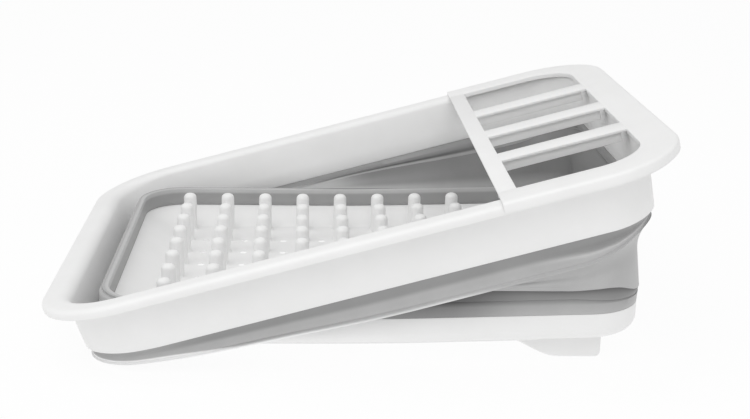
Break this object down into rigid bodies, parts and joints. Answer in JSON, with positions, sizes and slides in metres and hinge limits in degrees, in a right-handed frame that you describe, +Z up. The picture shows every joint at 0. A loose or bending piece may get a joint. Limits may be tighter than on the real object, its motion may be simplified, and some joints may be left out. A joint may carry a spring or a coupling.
{
  "type": "collapsible dish drying rack",
  "caption": "Collapsible dish rack: white tray with pegs, grey folding wall, white frame and lift-off cutlery rest with slots, standing half folded.",
  "frame": {"origin": "on the surface that the feet stand on, under the middle of the rack's bounding box", "axes": "+Z up, +X to the raised end with the cutlery rest, front at -Y"},
  "size_m": [0.3586, 0.306, 0.1345],
  "materials": {
    "tray_white": "satin moulded white polypropylene",
    "frame_white": "satin moulded white polypropylene",
    "rest_white": "satin moulded white polypropylene",
    "wall_grey": "soft satin grey elastomer"
  },
  "bodies": {
    "base": {"base_tray": "tray_white", "peg_column_01": "tray_white", "peg_column_02": "tray_white", "peg_column_03": "tray_white", "peg_column_04": "tray_white", "peg_column_05": "tray_white", "peg_column_06": "tray_white", "peg_column_07": "tray_white", "peg_column_08": "tray_white", "foot_front_left": "tray_white", "foot_front_right": "tray_white", "foot_back_left": "tray_white", "foot_back_right": "tray_white", "wall_lower_band": "wall_grey"},
    "flexible_wall": {"wall_middle_band": "wall_grey"},
    "frame": {"upper_frame": "frame_white", "wall_upper_band": "wall_grey"},
    "cutlery_rest": {"cutlery_rest_rim": "rest_white", "cutlery_rest_bar_1": "rest_white", "cutlery_rest_bar_2": "rest_white", "cutlery_rest_bar_3": "rest_white"}
  },
  "joints": [
    {"name": "right_end_folds", "type": "hinge", "parent": "base", "child": "flexible_wall", "pos_m": [-0.14797, 0, 0.00451], "axis": [0, 1, 0], "range_deg": [0, 12.3], "deforming": ["wall_middle_band"]},
    {"name": "left_end_rises", "type": "hinge", "parent": "flexible_wall", "child": "frame", "pos_m": [0.16513, 0, 0.08902], "axis": [0, 1, 0], "range_deg": [0, 15.44]},
    {"name": "rest_lifts_off", "type": "slide", "parent": "frame", "child": "cutlery_rest", "axis": [-0.2662, 0, 0.9639], "range_m": [0, 0.05]}
  ]
}
